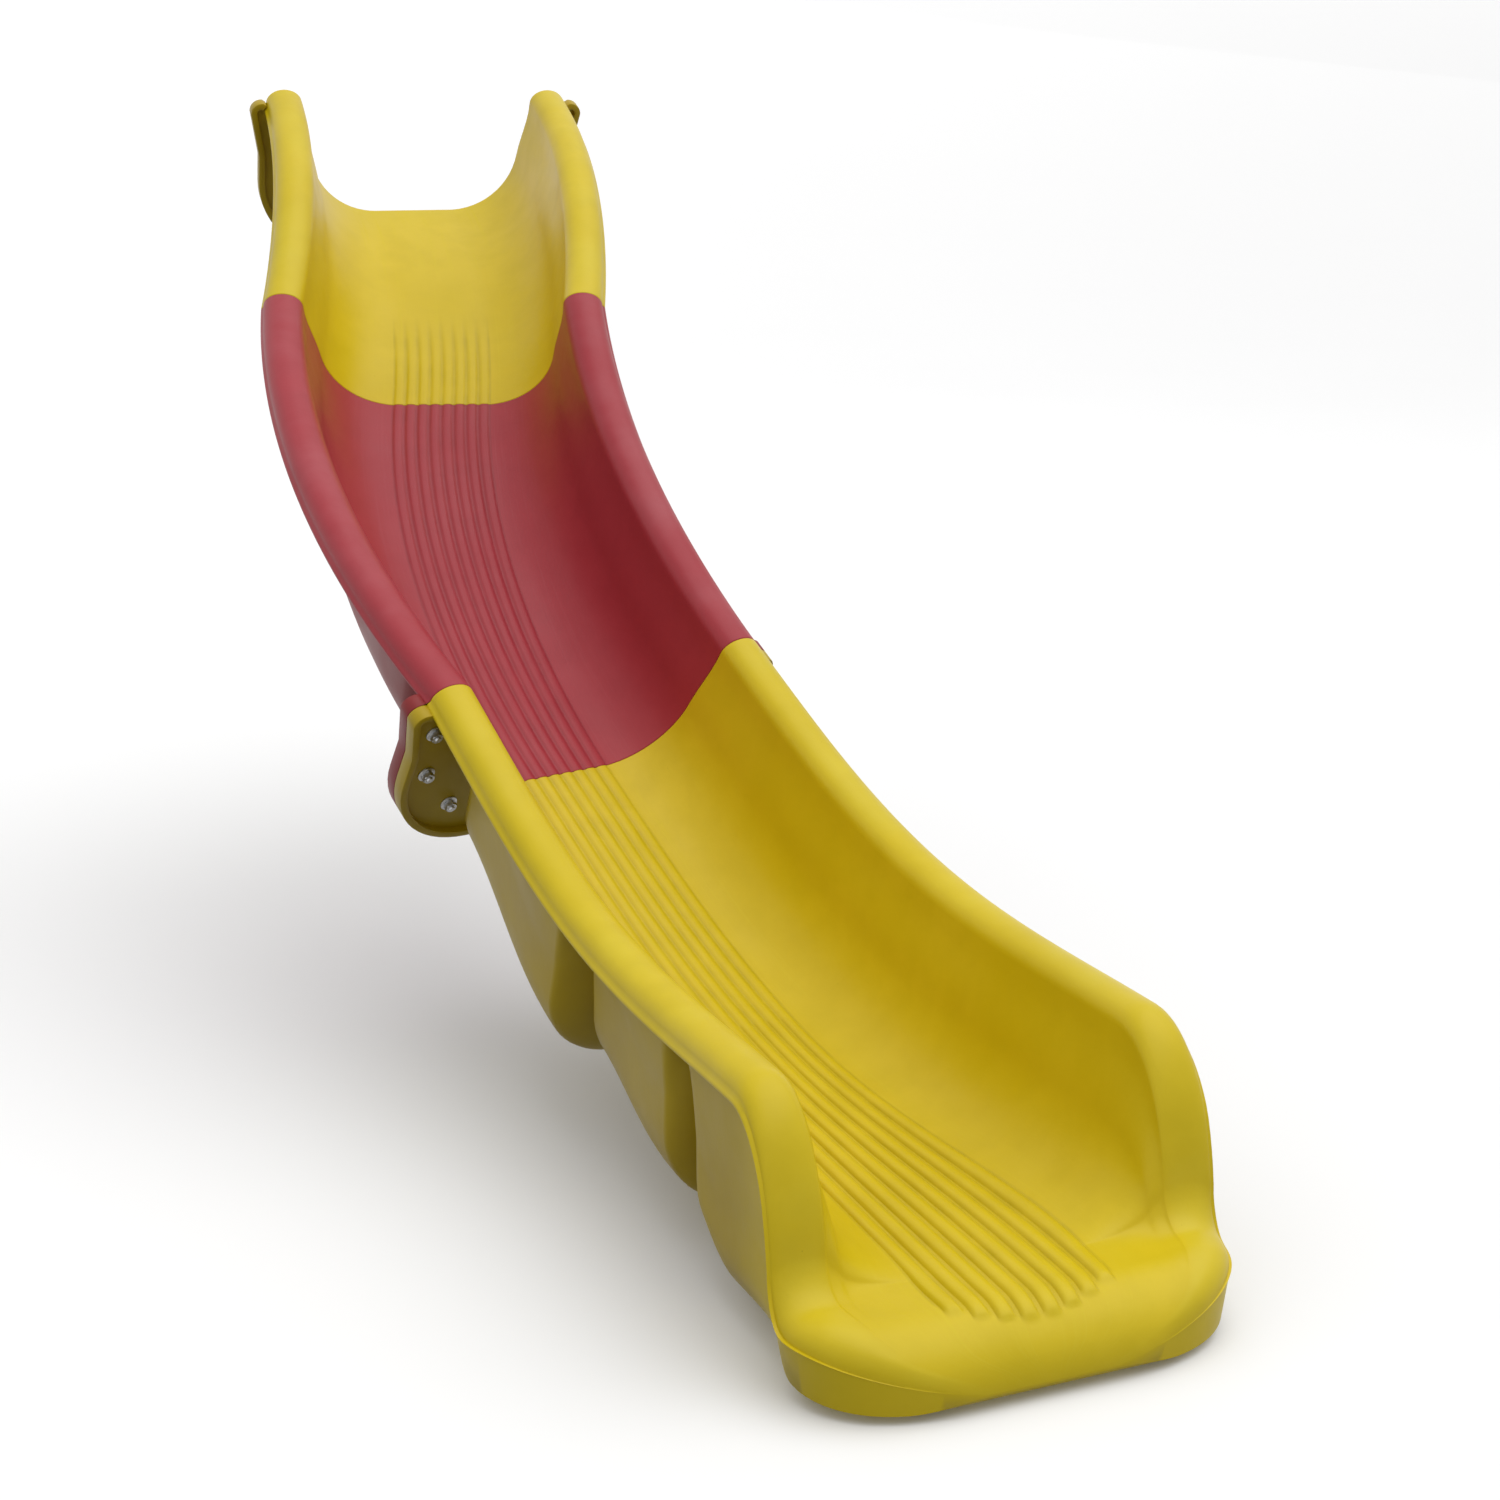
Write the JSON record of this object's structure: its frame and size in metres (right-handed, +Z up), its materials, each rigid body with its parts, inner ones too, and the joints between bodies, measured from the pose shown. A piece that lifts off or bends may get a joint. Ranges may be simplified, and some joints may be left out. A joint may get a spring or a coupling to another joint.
{
  "type": "wave slide",
  "caption": "Moulded playground slide in three bolted trough sections, weaving and dipping from a deck flange to a flared, rolled exit lip.",
  "frame": {"origin": "on the deck-side face of the entry flange, on its centre line, halfway between the channel floor's underside and the flange's lower edge", "axes": "+Z up, riders leave towards -Y, +X to the right of someone who faces the exit from the ground"},
  "size_m": [0.8169, 2.7582, 1.4881],
  "materials": {
    "yellow_plastic": "semi-gloss moulded polyethylene",
    "red_plastic": "semi-gloss moulded polyethylene",
    "zinc_steel": "zinc-plated",
    "pad_rubber": "matt"
  },
  "bodies": {
    "root": {"top_chute": "yellow_plastic", "middle_chute": "red_plastic", "bottom_chute": "yellow_plastic", "upper_joint_bolts": "zinc_steel", "upper_joint_head_washers": "zinc_steel", "upper_joint_nut_washers": "zinc_steel", "upper_joint_nuts": "zinc_steel", "lower_joint_bolts": "zinc_steel", "lower_joint_head_washers": "zinc_steel", "lower_joint_nut_washers": "zinc_steel", "lower_joint_nuts": "zinc_steel", "ground_pads": "pad_rubber", "pad_screws": "zinc_steel"}
  },
  "joints": []
}
